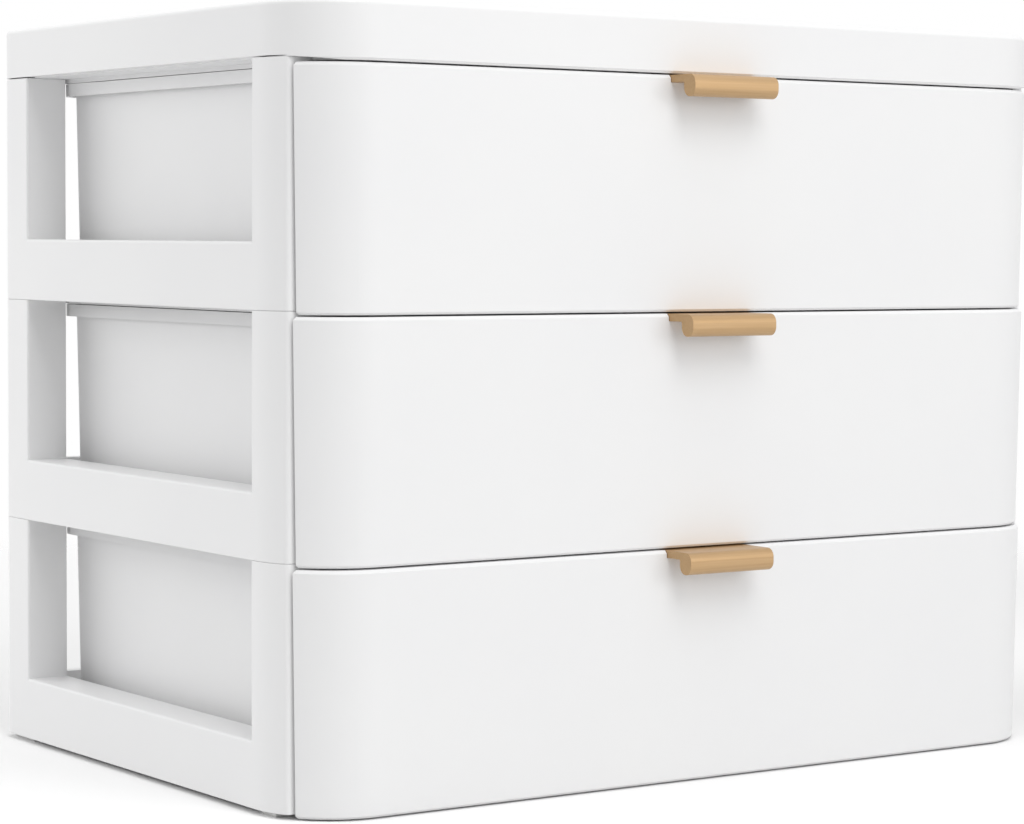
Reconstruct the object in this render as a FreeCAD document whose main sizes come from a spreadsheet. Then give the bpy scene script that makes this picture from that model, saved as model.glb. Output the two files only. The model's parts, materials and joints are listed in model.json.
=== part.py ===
"""Desktop mini drawers: three stacked tier frames, a cover and three sliding drawers.

Every piece is modelled in the coordinates of its own tier: the front face of the cover
is at y = 0, the back of the case at y = case_depth, and z = 0 is the seam that the tier
stands on. Placements then lift each piece to its tier and centre the whole on its base.
"""

import FreeCAD, Part
import math
import os

import Sketcher

SIZES = {
    # the case seen from outside
    "case_width": "280",
    "case_depth": "188",
    "front_corner_radius": "25",
    "rear_corner_radius": "6",
    "tier_pitch": "69.5",
    "foot_height": "1.5",
    # tier frame
    "post_thickness": "13.5",
    "front_post_depth": "15",
    "rear_post_depth": "19",
    "rail_height": "19",
    "rail_edge_round": "0.8",
    "post_nose_round": "1.8",
    "rear_rail_height": "18.2",
    "rear_rail_thickness": "4",
    "deck_thickness": "2.2",
    "hollow_wall": "2",
    "hollow_outer_wall": "3",
    "front_hollow_inset": "6",
    "rear_hollow_inset": "4",
    "spigot_height": "3.5",
    "spigot_clearance": "0.3",
    "deck_rib_height": "1.3",
    "guide_rib_thickness": "1.5",
    "hold_down_thickness": "1.5",
    "hold_down_clearance": "0.2",
    "stop_nib_width": "12",
    "stop_nib_depth": "2.5",
    # cover
    "cover_height": "15.5",
    "cover_top_round": "1.4",
    "cover_skin": "2.6",
    "cover_border": "16",
    "cover_rib_thickness": "2",
    "cover_lip_height": "1",
    "cover_lip_inset": "9",
    "cover_lip_round": "16",
    "cover_lip_bevel": "0.7",
    # drawer front panel
    "panel_depth": "11.6",
    "panel_gap": "0.5",
    "panel_post_gap": "1.1",
    "panel_overhang": "1",
    "panel_front_thickness": "3.4",
    "panel_wall": "2.4",
    "panel_top_bevel": "0.9",
    "panel_draft": "0.75",
    "panel_edge_bevel": "0.7",
    # drawer tub
    "tub_side_gap": "4.5",
    "tub_rear_gap": "11.1",
    "tub_wall": "2",
    "tub_floor": "2",
    "tub_draft": "1.2",
    "tub_rear_round": "8",
    "tub_seat_clearance": "0.5",
    "rim_reach": "3.2",
    "rim_height": "3.8",
    "rim_thickness": "1.6",
    "runner_height": "1.6",
    "runner_width": "3",
    "runner_inset": "22",
    "slide_clearance": "0.2",
    "guide_clearance": "0.5",
    "drawer_travel": "120",
    "stop_clearance": "0.4",
    # handle
    "handle_length": "31",
    "handle_reach": "11.4",
    "handle_height": "6.5",
    "handle_bar_width": "5.4",
    "handle_bar_round": "2.6",
    "handle_plate": "2.2",
    "handle_inner_round": "0.5",
    "handle_leg_thickness": "3",
    "handle_leg_length": "13",
    "handle_fit": "0.1",
    # screws
    "screw_diameter": "2.8",
    "screw_length": "4.8",
    "screw_head_diameter": "5.6",
    "screw_head_height": "1.8",
    "screw_clearance": "0.1",
    "handle_screw_spacing": "18",
    "handle_screw_drop": "8",
    # clips that hold the front panel to the tub
    "clip_side_inset": "22",
    "clip_level_inset": "14",
    "clip_width": "8",
    "clip_thickness": "1.8",
    "clip_barb": "0.9",
    "clip_barb_length": "1.2",
    "clip_clearance": "0.15",
    # feet
    "foot_margin": "0.4",
    "foot_edge_bevel": "0.4",
    "foot_plug_length": "6",
    # one overrun for every cut that passes a face, and how near two places count as one
    "overrun": "5",
    "match_tolerance": "0.00001",
}

TIERS = ("lower", "middle", "upper")

doc = FreeCAD.newDocument("desktop_mini_drawers")


class Length:
    """A size with its value in millimetres and the sheet formula that gives it."""

    def __init__(self, value, formula):
        self.value = value
        self.formula = formula

    def __add__(self, other):
        other = as_length(other)
        return Length(self.value + other.value, f"({self.formula} + {other.formula})")

    def __sub__(self, other):
        other = as_length(other)
        return Length(self.value - other.value, f"({self.formula} - {other.formula})")

    def __mul__(self, factor):
        return Length(self.value * factor, f"({self.formula} * {factor})")

    def __truediv__(self, factor):
        return Length(self.value / factor, f"({self.formula} / {factor})")

    def __neg__(self):
        return self * -1

    __rmul__ = __mul__


def as_length(item):
    """A plain zero becomes a Length, and a Length stays as it is."""
    return item if isinstance(item, Length) else Length(float(item), str(item))


class Sizes:
    """The driving sizes, one attribute for each alias of the sheet."""


def fill_sheet():
    """Write the sizes into a spreadsheet and return them as lengths."""
    sheet = doc.addObject("Spreadsheet::Sheet", "Sizes")
    sizes = Sizes()
    for row, (alias, text) in enumerate(SIZES.items(), start=1):
        sheet.set(f"A{row}", alias)
        sheet.set(f"B{row}", text)
        sheet.setAlias(f"B{row}", alias)
        setattr(sizes, alias, Length(float(text), f"Sizes.{alias}"))
    doc.recompute()
    return sizes


size = fill_sheet()

# Shared places, in the coordinates of a tier
half_width = size.case_width / 2
bay_half_width = half_width - size.post_thickness
post_front = size.panel_depth + size.panel_post_gap
window_front = post_front + size.front_post_depth
window_rear = size.case_depth - size.rear_post_depth
rear_rail_front = size.case_depth - size.rear_rail_thickness
panel_bottom = -size.panel_overhang
panel_top = size.tier_pitch - size.panel_overhang - size.panel_gap
tub_front = size.panel_front_thickness + size.handle_leg_thickness
tub_rear = size.case_depth - size.tub_rear_gap
tub_half_width = bay_half_width - size.tub_side_gap
tub_inner_front = tub_front + size.tub_wall
tub_bottom = size.deck_thickness + size.slide_clearance + size.runner_height
tub_height = panel_top - tub_bottom
rim_half_width = tub_half_width + size.rim_reach
rim_rear = tub_rear + size.rim_reach
rim_bottom = panel_top - size.rim_height
runner_x = tub_half_width - size.runner_inset
clip_x = tub_half_width - size.clip_side_inset
stop_rib_front = tub_rear - size.tub_rear_round
stop_nib_rear = stop_rib_front - size.drawer_travel - size.stop_clearance
stop_x = runner_x / 2
handle_screw_z = panel_top - size.handle_screw_drop
screw_places = [
    (side * size.handle_screw_spacing / 2, handle_screw_z) for side in (-1, 1)
]
clip_levels = (
    size.clip_level_inset,
    panel_top - size.clip_level_inset - size.clip_thickness,
)

# The four hollows inside the posts: left and right, front and rear
hollow_outer = half_width - size.hollow_outer_wall
hollow_inner = bay_half_width + size.hollow_wall
front_hollow = (
    post_front + size.front_hollow_inset,
    window_front - size.hollow_wall,
)
rear_hollow = (
    window_rear + size.hollow_wall,
    size.case_depth - size.rear_hollow_inset,
)


def bind(item, path, length):
    """Tie one property of an object to a formula of the sheet."""
    item.setExpression(path, as_length(length).formula)


def new_body(label):
    """An empty body whose label names its file."""
    body = doc.addObject("PartDesign::Body", label)
    body.Label = label
    return body


def new_sketch(body, name, role, level):
    """A sketch on one of the body's own origin planes, raised by a bound level."""
    sketch = body.newObject("Sketcher::SketchObject", name)
    plane = next(item for item in body.Origin.OriginFeatures if item.Role == role)
    sketch.AttachmentSupport = [(plane, "")]
    sketch.MapMode = "FlatFace"
    bind(sketch, "AttachmentOffset.Base.z", level)
    return sketch


def constrain(sketch, kind, target, length):
    """Add one dimension to a sketch and tie it to its formula."""
    index = sketch.addConstraint(Sketcher.Constraint(kind, *target, length.value))
    sketch.setExpression(f"Constraints[{index}]", length.formula)


def hold_line(sketch, line, start, end, corner):
    """Keep one straight side level or upright, at its distance from the origin."""
    level = abs(end.y - start.y) < abs(end.x - start.x)
    sketch.addConstraint(Sketcher.Constraint("Horizontal" if level else "Vertical", line))
    place = as_length(corner[1] if level else corner[0])
    if place.value == 0:
        axis = -1 if level else -2
        sketch.addConstraint(Sketcher.Constraint("PointOnObject", line, 1, axis))
    else:
        constrain(sketch, "DistanceY" if level else "DistanceX", (line, 1), place)


def outline(sketch, corners):
    """A closed outline of level and upright sides; a corner may carry a radius."""
    count = len(corners)
    points = [
        FreeCAD.Vector(as_length(c[0]).value, as_length(c[1]).value, 0) for c in corners
    ]
    radii = [as_length(c[2]) if len(c) > 2 else as_length(0) for c in corners]
    ways = [(points[(i + 1) % count] - points[i]).normalize() for i in range(count)]
    starts = [points[i] + ways[i] * radii[i].value for i in range(count)]
    ends = [
        points[(i + 1) % count] - ways[i] * radii[(i + 1) % count].value
        for i in range(count)
    ]
    lines = []
    for i in range(count):
        lines.append(sketch.addGeometry(Part.LineSegment(starts[i], ends[i])))
        hold_line(sketch, lines[i], starts[i], ends[i], corners[i])
    for i in range(count):
        before = lines[i - 1]
        after = lines[i]
        radius = radii[i]
        if radius.value == 0:
            sketch.addConstraint(Sketcher.Constraint("Coincident", before, 2, after, 1))
            continue
        way_in = ways[i - 1]
        way_out = ways[i]
        centre = points[i] + (way_out - way_in) * radius.value
        turns_left = way_in.x * way_out.y - way_in.y * way_out.x > 0
        first = ends[i - 1] if turns_left else starts[i]
        angle = math.atan2(first.y - centre.y, first.x - centre.x)
        circle = Part.Circle(centre, FreeCAD.Vector(0, 0, 1), radius.value)
        arc = sketch.addGeometry(Part.ArcOfCircle(circle, angle, angle + math.pi / 2))
        near, far = (1, 2) if turns_left else (2, 1)
        sketch.addConstraint(Sketcher.Constraint("Tangent", before, 2, arc, near))
        sketch.addConstraint(Sketcher.Constraint("Tangent", arc, far, after, 1))
        constrain(sketch, "Radius", (arc,), radius)


def box(sketch, left, right, front, rear):
    """A plain rectangle."""
    outline(sketch, [(left, front), (right, front), (right, rear), (left, rear)])


def circle(sketch, across, up, diameter):
    """A circle held by its centre and its diameter."""
    across = as_length(across)
    up = as_length(up)
    centre = FreeCAD.Vector(across.value, up.value, 0)
    shape = Part.Circle(centre, FreeCAD.Vector(0, 0, 1), diameter.value / 2)
    index = sketch.addGeometry(shape)
    constrain(sketch, "DistanceX", (index, 3), across)
    constrain(sketch, "DistanceY", (index, 3), up)
    constrain(sketch, "Diameter", (index,), diameter)


def pad(body, sketch, length, down=False, draft=None):
    """Grow a sketch into a solid, upwards or down, with an optional draft."""
    feature = body.newObject("PartDesign::Pad", sketch.Name + "_pad")
    feature.Profile = sketch
    feature.Reversed = down
    bind(feature, "Length", length)
    if draft is not None:
        bind(feature, "TaperAngle", -draft)
    sketch.Visibility = False
    doc.recompute()
    return feature


def cut(body, sketch, length, up=False, draft=None):
    """Cut a sketch out of the solid and make sure that the cut took something away."""
    before = body.Shape.Volume
    feature = body.newObject("PartDesign::Pocket", sketch.Name + "_cut")
    feature.Profile = sketch
    feature.Reversed = up
    bind(feature, "Length", length)
    if draft is not None:
        bind(feature, "TaperAngle", -draft)
    sketch.Visibility = False
    doc.recompute()
    if not body.Shape.Volume < before:
        raise RuntimeError(f"{body.Label}: {sketch.Name} cuts nothing")
    return feature


def round_edges(body, radius, wanted):
    """Round the edges of the body that a test picks."""
    tip = body.Tip
    names = [
        f"Edge{number}"
        for number, edge in enumerate(tip.Shape.Edges, start=1)
        if wanted(edge)
    ]
    if not names:
        raise RuntimeError(f"{body.Label}: no edge to round")
    feature = body.newObject("PartDesign::Fillet", body.Label + "_round")
    feature.Base = (tip, names)
    bind(feature, "Radius", radius)
    doc.recompute()
    return feature


def bevel_edges(body, width, wanted):
    """Break the edges of the body that a test picks with a flat bevel."""
    tip = body.Tip
    names = [
        f"Edge{number}"
        for number, edge in enumerate(tip.Shape.Edges, start=1)
        if wanted(edge)
    ]
    if not names:
        raise RuntimeError(f"{body.Label}: no edge to bevel")
    feature = body.newObject("PartDesign::Chamfer", body.Label + "_bevel")
    feature.Base = (tip, names)
    bind(feature, "Size", width)
    doc.recompute()
    return feature


def near(first, second):
    """True when two numbers are the same place on the part."""
    return math.isclose(first, second, abs_tol=size.match_tolerance.value)


def upright(edge):
    """True for a vertical straight edge."""
    bounds = edge.BoundBox
    return near(bounds.XLength, 0) and near(bounds.YLength, 0)


def level_at(edge, height):
    """True for an edge that lies in one horizontal plane."""
    bounds = edge.BoundBox
    return near(bounds.ZMin, height) and near(bounds.ZMax, height)


def case_outline(sketch):
    """The rounded plan of the whole case."""
    outline(
        sketch,
        [
            (-half_width, 0, size.front_corner_radius),
            (half_width, 0, size.front_corner_radius),
            (half_width, size.case_depth, size.rear_corner_radius),
            (-half_width, size.case_depth, size.rear_corner_radius),
        ],
    )


def post_hollows(sketch, clearance):
    """Four rectangles inside the posts, drawn in by a clearance."""
    for side in (-1, 1):
        for front, rear in (front_hollow, rear_hollow):
            box(
                sketch,
                side * (hollow_inner + clearance),
                side * (hollow_outer - clearance),
                front + clearance,
                rear - clearance,
            )


# Tier frame: one tray moulding with four posts, side rails, a rear rail and a deck


def cut_bay(body):
    """Open the moulding to the front, inside, behind and at both sides."""
    front_zone = new_sketch(body, "front_zone", "XY_Plane", size.tier_pitch)
    reach = half_width + size.overrun
    box(front_zone, -reach, reach, -size.overrun, post_front)
    cut(body, front_zone, size.tier_pitch)

    bay = new_sketch(body, "drawer_bay", "XY_Plane", size.tier_pitch)
    box(bay, -bay_half_width, bay_half_width, 0, rear_rail_front)
    cut(body, bay, size.tier_pitch - size.deck_thickness)

    back = new_sketch(body, "rear_opening", "XY_Plane", size.tier_pitch)
    past_back = size.case_depth + size.overrun
    past_rail = rear_rail_front - size.overrun
    box(back, -bay_half_width, bay_half_width, past_rail, past_back)
    cut(body, back, size.tier_pitch - size.rear_rail_height)

    windows = new_sketch(body, "side_windows", "YZ_Plane", -reach)
    past_top = size.tier_pitch + size.overrun
    box(windows, window_front, window_rear, size.rail_height, past_top)
    cut(body, windows, reach * 2, up=True)


def round_frame(body):
    """Soften the outer edge of each window and the nose of each front post."""
    side = half_width.value

    def window_edge(edge):
        bounds = edge.BoundBox
        outside = near(abs(bounds.XMin), side) and near(abs(bounds.XMax), side)
        inside_case = (
            bounds.YMin > post_front.value and bounds.YMax < rear_rail_front.value
        )
        on_rail = level_at(edge, size.rail_height.value)
        on_post = upright(edge) and near(bounds.ZMin, size.rail_height.value)
        return outside and inside_case and (on_rail or on_post)

    def nose_edge(edge):
        bounds = edge.BoundBox
        at_front = near(bounds.YMin, post_front.value) and upright(edge)
        outer = abs(bounds.XMin) > bay_half_width.value + size.rail_edge_round.value
        return at_front and outer

    round_edges(body, size.rail_edge_round, window_edge)
    round_edges(body, size.post_nose_round, nose_edge)


def hollow_frame(body):
    """Core the posts and the rails from below, as a moulding is."""
    posts = new_sketch(body, "post_cores", "XY_Plane", 0)
    post_hollows(posts, as_length(0))
    cut(body, posts, size.tier_pitch - size.hollow_wall, up=True)

    rails = new_sketch(body, "rail_cores", "XY_Plane", 0)
    for side in (-1, 1):
        box(
            rails,
            side * hollow_inner,
            side * hollow_outer,
            window_front + size.hollow_wall,
            window_rear - size.hollow_wall,
        )
    cut(body, rails, size.rail_height - size.hollow_wall, up=True)


def add_spigots(body):
    """Pegs on the post tops that locate the next tier or the cover."""
    pegs = new_sketch(body, "spigots", "XY_Plane", size.tier_pitch)
    post_hollows(pegs, size.spigot_clearance)
    pad(body, pegs, size.spigot_height)


def add_deck_ribs(body):
    """Guides beside the drawer's runners and the nibs that stop the drawer."""
    ribs = new_sketch(body, "deck_ribs", "XY_Plane", size.deck_thickness)
    guide_outer = runner_x - size.runner_width / 2 - size.guide_clearance
    guide_inner = guide_outer - size.guide_rib_thickness
    half_nib = size.stop_nib_width / 2
    for side in (-1, 1):
        box(ribs, side * guide_inner, side * guide_outer, window_front, window_rear)
        box(
            ribs,
            side * (stop_x - half_nib),
            side * (stop_x + half_nib),
            stop_nib_rear - size.stop_nib_depth,
            stop_nib_rear,
        )
    pad(body, ribs, size.deck_rib_height)


def add_hold_downs(body):
    """Two ribs under the moulding that run just above the rim of the drawer below."""
    ribs = new_sketch(body, "hold_down_ribs", "XY_Plane", 0)
    rib_inner = rim_half_width - size.hold_down_thickness
    for side in (-1, 1):
        box(ribs, side * rib_inner, side * rim_half_width, window_front, tub_rear)
    rib_height = size.tier_pitch - panel_top - size.hold_down_clearance
    pad(body, ribs, rib_height, down=True)


def make_frame(tier):
    """One tier frame, open at its top, front, back and sides."""
    body = new_body(f"tier_frame_{tier}")
    block = new_sketch(body, "case_block", "XY_Plane", 0)
    case_outline(block)
    pad(body, block, size.tier_pitch)
    cut_bay(body)
    round_frame(body)
    hollow_frame(body)
    add_spigots(body)
    add_deck_ribs(body)
    add_hold_downs(body)
    return body


# Cover: a deep lid with a ribbed underside and a shallow lip over the top drawer


def add_lip(body):
    """A lip that hangs over the top drawer and draws in towards both corners."""
    lip = new_sketch(body, "front_lip", "XY_Plane", 0)
    lip_reach = half_width - size.cover_lip_inset
    lip_rear = size.cover_lip_round + size.overrun
    outline(
        lip,
        [
            (-lip_reach, 0, size.cover_lip_round),
            (lip_reach, 0, size.cover_lip_round),
            (lip_reach, lip_rear),
            (-lip_reach, lip_rear),
        ],
    )
    pad(body, lip, size.cover_lip_height, down=True)

    back = new_sketch(body, "lip_back", "XY_Plane", -size.cover_lip_height)
    box(back, -half_width, half_width, size.panel_depth, lip_rear + size.overrun)
    cut(body, back, size.cover_lip_height, up=True)
    lip_bottom = -size.cover_lip_height.value

    def outer_edge(edge):
        at_back = near(edge.BoundBox.YMin, size.panel_depth.value)
        return level_at(edge, lip_bottom) and not at_back

    bevel_edges(body, size.cover_lip_bevel, outer_edge)


def make_cover():
    """The lid that closes the top tier."""
    body = new_body("top_cover")
    block = new_sketch(body, "cover_block", "XY_Plane", 0)
    case_outline(block)
    pad(body, block, size.cover_height)
    round_edges(
        body, size.cover_top_round, lambda edge: level_at(edge, size.cover_height.value)
    )
    add_lip(body)

    cells = new_sketch(body, "underside_cells", "XY_Plane", 0)
    columns = 3
    rows = 2
    rib = size.cover_rib_thickness
    left = -(half_width - size.cover_border)
    front = size.cover_border
    depth = size.case_depth - size.cover_border * 2
    cell_width = (-left * 2 - rib * (columns - 1)) / columns
    cell_depth = (depth - rib * (rows - 1)) / rows
    for column in range(columns):
        for row in range(rows):
            cell_left = left + (cell_width + rib) * column
            cell_front = front + (cell_depth + rib) * row
            cell_right = cell_left + cell_width
            box(cells, cell_left, cell_right, cell_front, cell_front + cell_depth)
    cut(body, cells, size.cover_height - size.cover_skin, up=True)

    sockets = new_sketch(body, "spigot_sockets", "XY_Plane", 0)
    post_hollows(sockets, as_length(0))
    cut(body, sockets, size.spigot_height + size.spigot_clearance, up=True)
    add_hold_downs(body)
    return body


# Drawer tub: a drafted open box with a turned-down rim


def add_rim(body):
    """A flat flange round the tub with a skirt that hangs from its edge."""
    plate = new_sketch(body, "rim_plate", "XY_Plane", panel_top)
    plate_round = size.tub_rear_round + size.rim_reach
    outline(
        plate,
        [
            (-rim_half_width, tub_front),
            (rim_half_width, tub_front),
            (rim_half_width, rim_rear, plate_round),
            (-rim_half_width, rim_rear, plate_round),
        ],
    )
    pad(body, plate, size.rim_height, down=True)

    hollow = new_sketch(body, "rim_hollow", "XY_Plane", rim_bottom)
    hollow_reach = rim_half_width - size.rim_thickness
    hollow_rear = rim_rear - size.rim_thickness
    hollow_round = plate_round - size.rim_thickness
    hollow_front = tub_front + size.rim_thickness
    outline(
        hollow,
        [
            (-hollow_reach, hollow_front),
            (hollow_reach, hollow_front),
            (hollow_reach, hollow_rear, hollow_round),
            (-hollow_reach, hollow_rear, hollow_round),
        ],
    )
    cut(body, hollow, size.rim_height - size.rim_thickness, up=True)


def make_tub(tier):
    """The open box that slides on the deck."""
    body = new_body(f"drawer_{tier}_tub")
    add_rim(body)

    for name, inset in (("tub_walls", as_length(0)), ("tub_space", size.tub_wall)):
        sketch = new_sketch(body, name, "XY_Plane", panel_top)
        reach = tub_half_width - inset
        rear = tub_rear - inset
        rear_round = size.tub_rear_round - inset
        corners = [
            (-reach, tub_front),
            (reach, tub_front),
            (reach, rear, rear_round),
            (-reach, rear, rear_round),
        ]
        outline(sketch, corners)
        if inset.value == 0:
            pad(body, sketch, tub_height, down=True, draft=size.tub_draft)
        else:
            cut(body, sketch, tub_height - size.tub_floor, draft=size.tub_draft)

    plate = new_sketch(body, "front_plate", "XY_Plane", panel_top)
    box(plate, -tub_half_width, tub_half_width, tub_front, tub_inner_front)
    pad(body, plate, tub_height, down=True)

    add_runners(body)
    drill_tub(body)
    return body


def add_runners(body):
    """Two runners under the floor and the ribs that meet the stop nibs."""
    runners = new_sketch(body, "runners", "XY_Plane", tub_bottom)
    half_runner = size.runner_width / 2
    for side in (-1, 1):
        box(
            runners,
            side * (runner_x - half_runner),
            side * (runner_x + half_runner),
            post_front,
            tub_rear - size.tub_rear_round,
        )
    pad(body, runners, size.runner_height, down=True)

    stops = new_sketch(body, "stop_ribs", "XY_Plane", tub_bottom)
    for side in (-1, 1):
        box(
            stops,
            side * (stop_x - size.stop_nib_width),
            side * (stop_x + size.stop_nib_width),
            stop_rib_front,
            stop_rib_front + size.stop_nib_depth,
        )
    pad(body, stops, size.deck_rib_height, down=True)


def drill_tub(body):
    """Openings in the front plate: two for screws and four for the panel's clips."""
    openings = new_sketch(body, "front_openings", "XZ_Plane", -tub_front)
    hole_diameter = size.screw_diameter + size.screw_clearance * 4
    for across, up in screw_places:
        circle(openings, across, up, hole_diameter)
    gap = size.clip_clearance
    for side in (-1, 1):
        left = side * clip_x - size.clip_width / 2 - gap
        right = side * clip_x + size.clip_width / 2 + gap
        for level in clip_levels:
            box(openings, left, right, level - gap, level + size.clip_thickness + gap)
    cut(body, openings, size.tub_wall)


# Front panel: a curved shell that covers the posts and clips onto the tub


def make_panel(tier):
    """The drawer front with its two rounded, wrapped ends."""
    body = new_body(f"drawer_{tier}_front")
    height = panel_top - panel_bottom
    skin = new_sketch(body, "panel_skin", "XY_Plane", panel_top)
    past_back = size.panel_depth + size.overrun
    outline(
        skin,
        [
            (-half_width, 0, size.front_corner_radius),
            (half_width, 0, size.front_corner_radius),
            (half_width, size.front_corner_radius + past_back),
            (-half_width, size.front_corner_radius + past_back),
        ],
    )
    pad(body, skin, height, down=True, draft=size.panel_draft)

    back = new_sketch(body, "panel_back", "XY_Plane", panel_top)
    reach = half_width + size.overrun
    far_back = size.front_corner_radius + past_back + size.overrun
    box(back, -reach, reach, size.panel_depth, far_back)
    cut(body, back, height + size.overrun)
    bevel_panel(body)
    hollow_panel(body)
    fit_panel(body)
    return body


def bevel_panel(body):
    """Break the panel's top and bottom edges."""

    def rim_edge(edge, height):
        at_back = near(edge.BoundBox.YMin, size.panel_depth.value)
        return level_at(edge, height.value) and not at_back

    bevel_edges(body, size.panel_top_bevel, lambda edge: rim_edge(edge, panel_top))
    bevel_edges(body, size.panel_edge_bevel, lambda edge: rim_edge(edge, panel_bottom))


def hollow_panel(body):
    """Hollow the panel from behind, with a wall left all round."""
    space = new_sketch(body, "panel_space", "XY_Plane", panel_top - size.panel_wall)
    inner = half_width - size.panel_wall
    inner_round = size.front_corner_radius - size.panel_wall
    inner_back = size.front_corner_radius + size.panel_depth + size.overrun
    outline(
        space,
        [
            (-inner, size.panel_front_thickness, inner_round),
            (inner, size.panel_front_thickness, inner_round),
            (inner, inner_back),
            (-inner, inner_back),
        ],
    )
    cut(body, space, panel_top - panel_bottom - size.panel_wall * 2)


def add_clips(body):
    """Four hooked clips that pass through the tub's front wall."""
    root = size.panel_front_thickness - size.panel_wall / 2
    hook = tub_inner_front + size.clip_clearance
    tip = hook + size.clip_barb_length
    for name, side in (("left", -1), ("right", 1)):
        start = side * clip_x - size.clip_width / 2
        clips = new_sketch(body, f"clips_{name}", "YZ_Plane", start)
        for level in clip_levels:
            top = level + size.clip_thickness
            outline(
                clips,
                [
                    (root, level),
                    (tip, level),
                    (tip, top + size.clip_barb),
                    (hook, top + size.clip_barb),
                    (hook, top),
                    (root, top),
                ],
            )
        pad(body, clips, size.clip_width)


def fit_panel(body):
    """Room for the tub and the handle, and the clips that hold the tub."""
    seat = new_sketch(body, "tub_seat", "XY_Plane", panel_top)
    seat_reach = rim_half_width + size.tub_seat_clearance
    box(seat, -seat_reach, seat_reach, tub_front, size.panel_depth + size.overrun)
    cut(body, seat, panel_top - panel_bottom - size.panel_wall)

    notch = new_sketch(body, "handle_notch", "XY_Plane", panel_top)
    notch_reach = size.handle_length / 2 + size.handle_fit
    box(notch, -notch_reach, notch_reach, -size.overrun, tub_front + size.overrun)
    cut(body, notch, size.handle_plate)

    slot = new_sketch(body, "leg_slot", "XY_Plane", panel_top)
    slot_rear = tub_front + size.overrun
    box(slot, -notch_reach, notch_reach, size.panel_front_thickness, slot_rear)
    cut(body, slot, size.handle_leg_length)

    add_clips(body)


# Handle: an extruded profile that hooks over the panel's top edge


def make_handle(tier):
    """The finger pull with its bar, its plate and the leg behind the panel."""
    body = new_body(f"drawer_{tier}_handle")
    profile = new_sketch(body, "handle_profile", "YZ_Plane", -size.handle_length / 2)
    bar_bottom = panel_top - size.handle_height
    bar_rear = size.handle_bar_width - size.handle_reach
    plate_under = panel_top - size.handle_plate
    leg_bottom = panel_top - size.handle_leg_length
    outline(
        profile,
        [
            (-size.handle_reach, panel_top, size.handle_bar_round),
            (-size.handle_reach, bar_bottom, size.handle_bar_round),
            (bar_rear, bar_bottom, size.handle_bar_round),
            (bar_rear, plate_under, size.handle_inner_round),
            (size.panel_front_thickness, plate_under),
            (size.panel_front_thickness, leg_bottom),
            (tub_front, leg_bottom),
            (tub_front, panel_top),
        ],
    )
    pad(body, profile, size.handle_length)

    holes = new_sketch(body, "leg_holes", "XZ_Plane", -tub_front - size.overrun)
    hole_diameter = size.screw_diameter + size.screw_clearance * 2
    for across, up in screw_places:
        circle(holes, across, up, hole_diameter)
    cut(body, holes, size.handle_leg_thickness + size.overrun, up=True)
    return body


# Screws: two hold the handle of each drawer


def make_screws(tier):
    """Two screws driven from inside the drawer."""
    body = new_body(f"drawer_{tier}_screws")
    body.AllowCompound = True
    heads = new_sketch(body, "screw_heads", "XZ_Plane", -tub_inner_front)
    for across, up in screw_places:
        circle(heads, across, up, size.screw_head_diameter)
    pad(body, heads, size.screw_head_height, down=True)
    shanks = new_sketch(body, "screw_shanks", "XZ_Plane", -tub_inner_front)
    for across, up in screw_places:
        circle(shanks, across, up, size.screw_diameter)
    pad(body, shanks, size.screw_length)
    return body


# Feet: rubber pads with a plug that fills a post of the lowest tier


def make_foot(name, depth):
    """One foot, centred on its plug."""
    body = new_body(name)
    width = hollow_outer - hollow_inner
    half_sole = width / 2 + size.foot_margin
    half_sole_depth = depth / 2 + size.foot_margin
    sole = new_sketch(body, "foot_sole", "XY_Plane", 0)
    box(sole, -half_sole, half_sole, -half_sole_depth, half_sole_depth)
    pad(body, sole, size.foot_height)
    bevel_edges(body, size.foot_edge_bevel, lambda edge: level_at(edge, 0))

    plug = new_sketch(body, "foot_plug", "XY_Plane", size.foot_height)
    half_plug = width / 2 - size.spigot_clearance
    half_plug_depth = depth / 2 - size.spigot_clearance
    box(plug, -half_plug, half_plug, -half_plug_depth, half_plug_depth)
    pad(body, plug, size.foot_plug_length)
    return body


def place(body, across, back, up):
    """Set a body's place in the whole part, tied to the sheet."""
    bind(body, "Placement.Base.x", across)
    bind(body, "Placement.Base.y", back)
    bind(body, "Placement.Base.z", up)


def build():
    """Make every piece and put it in its place."""
    bodies = []
    middle_shift = (size.handle_reach - size.case_depth) / 2
    for number, tier in enumerate(TIERS):
        level = size.foot_height + size.tier_pitch * number
        for maker in (make_frame, make_tub, make_panel, make_handle, make_screws):
            body = maker(tier)
            place(body, 0, middle_shift, level)
            bodies.append(body)
    cover = make_cover()
    place(cover, 0, middle_shift, size.foot_height + size.tier_pitch * len(TIERS))
    bodies.append(cover)
    post_middle = (hollow_inner + hollow_outer) / 2
    for end, (front, rear) in (("front", front_hollow), ("rear", rear_hollow)):
        for side_name, side in (("left", -1), ("right", 1)):
            foot = make_foot(f"foot_{end}_{side_name}", rear - front)
            place(foot, side * post_middle, middle_shift + (front + rear) / 2, 0)
            bodies.append(foot)
    return bodies


def write(bodies):
    """Check every object and write one file for each piece."""
    doc.recompute()
    for item in doc.Objects:
        if "Invalid" in item.State or "Error" in item.State:
            raise RuntimeError(f"{item.Name}: {item.State}")
    os.makedirs("parts", exist_ok=True)
    for body in bodies:
        shape = body.Shape
        if shape.isNull() or not shape.isValid():
            raise RuntimeError(f"{body.Label}: bad shape")
        shape.exportStep(f"parts/{body.Label}.step")
        bounds = shape.BoundBox
        print(
            f"{body.Label}: {len(shape.Solids)} solid(s), {shape.Volume:.0f} mm3,",
            f"x {bounds.XMin:.2f} {bounds.XMax:.2f}, y {bounds.YMin:.2f} {bounds.YMax:.2f},",
            f"z {bounds.ZMin:.2f} {bounds.ZMax:.2f}",
        )


write(build())
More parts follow.
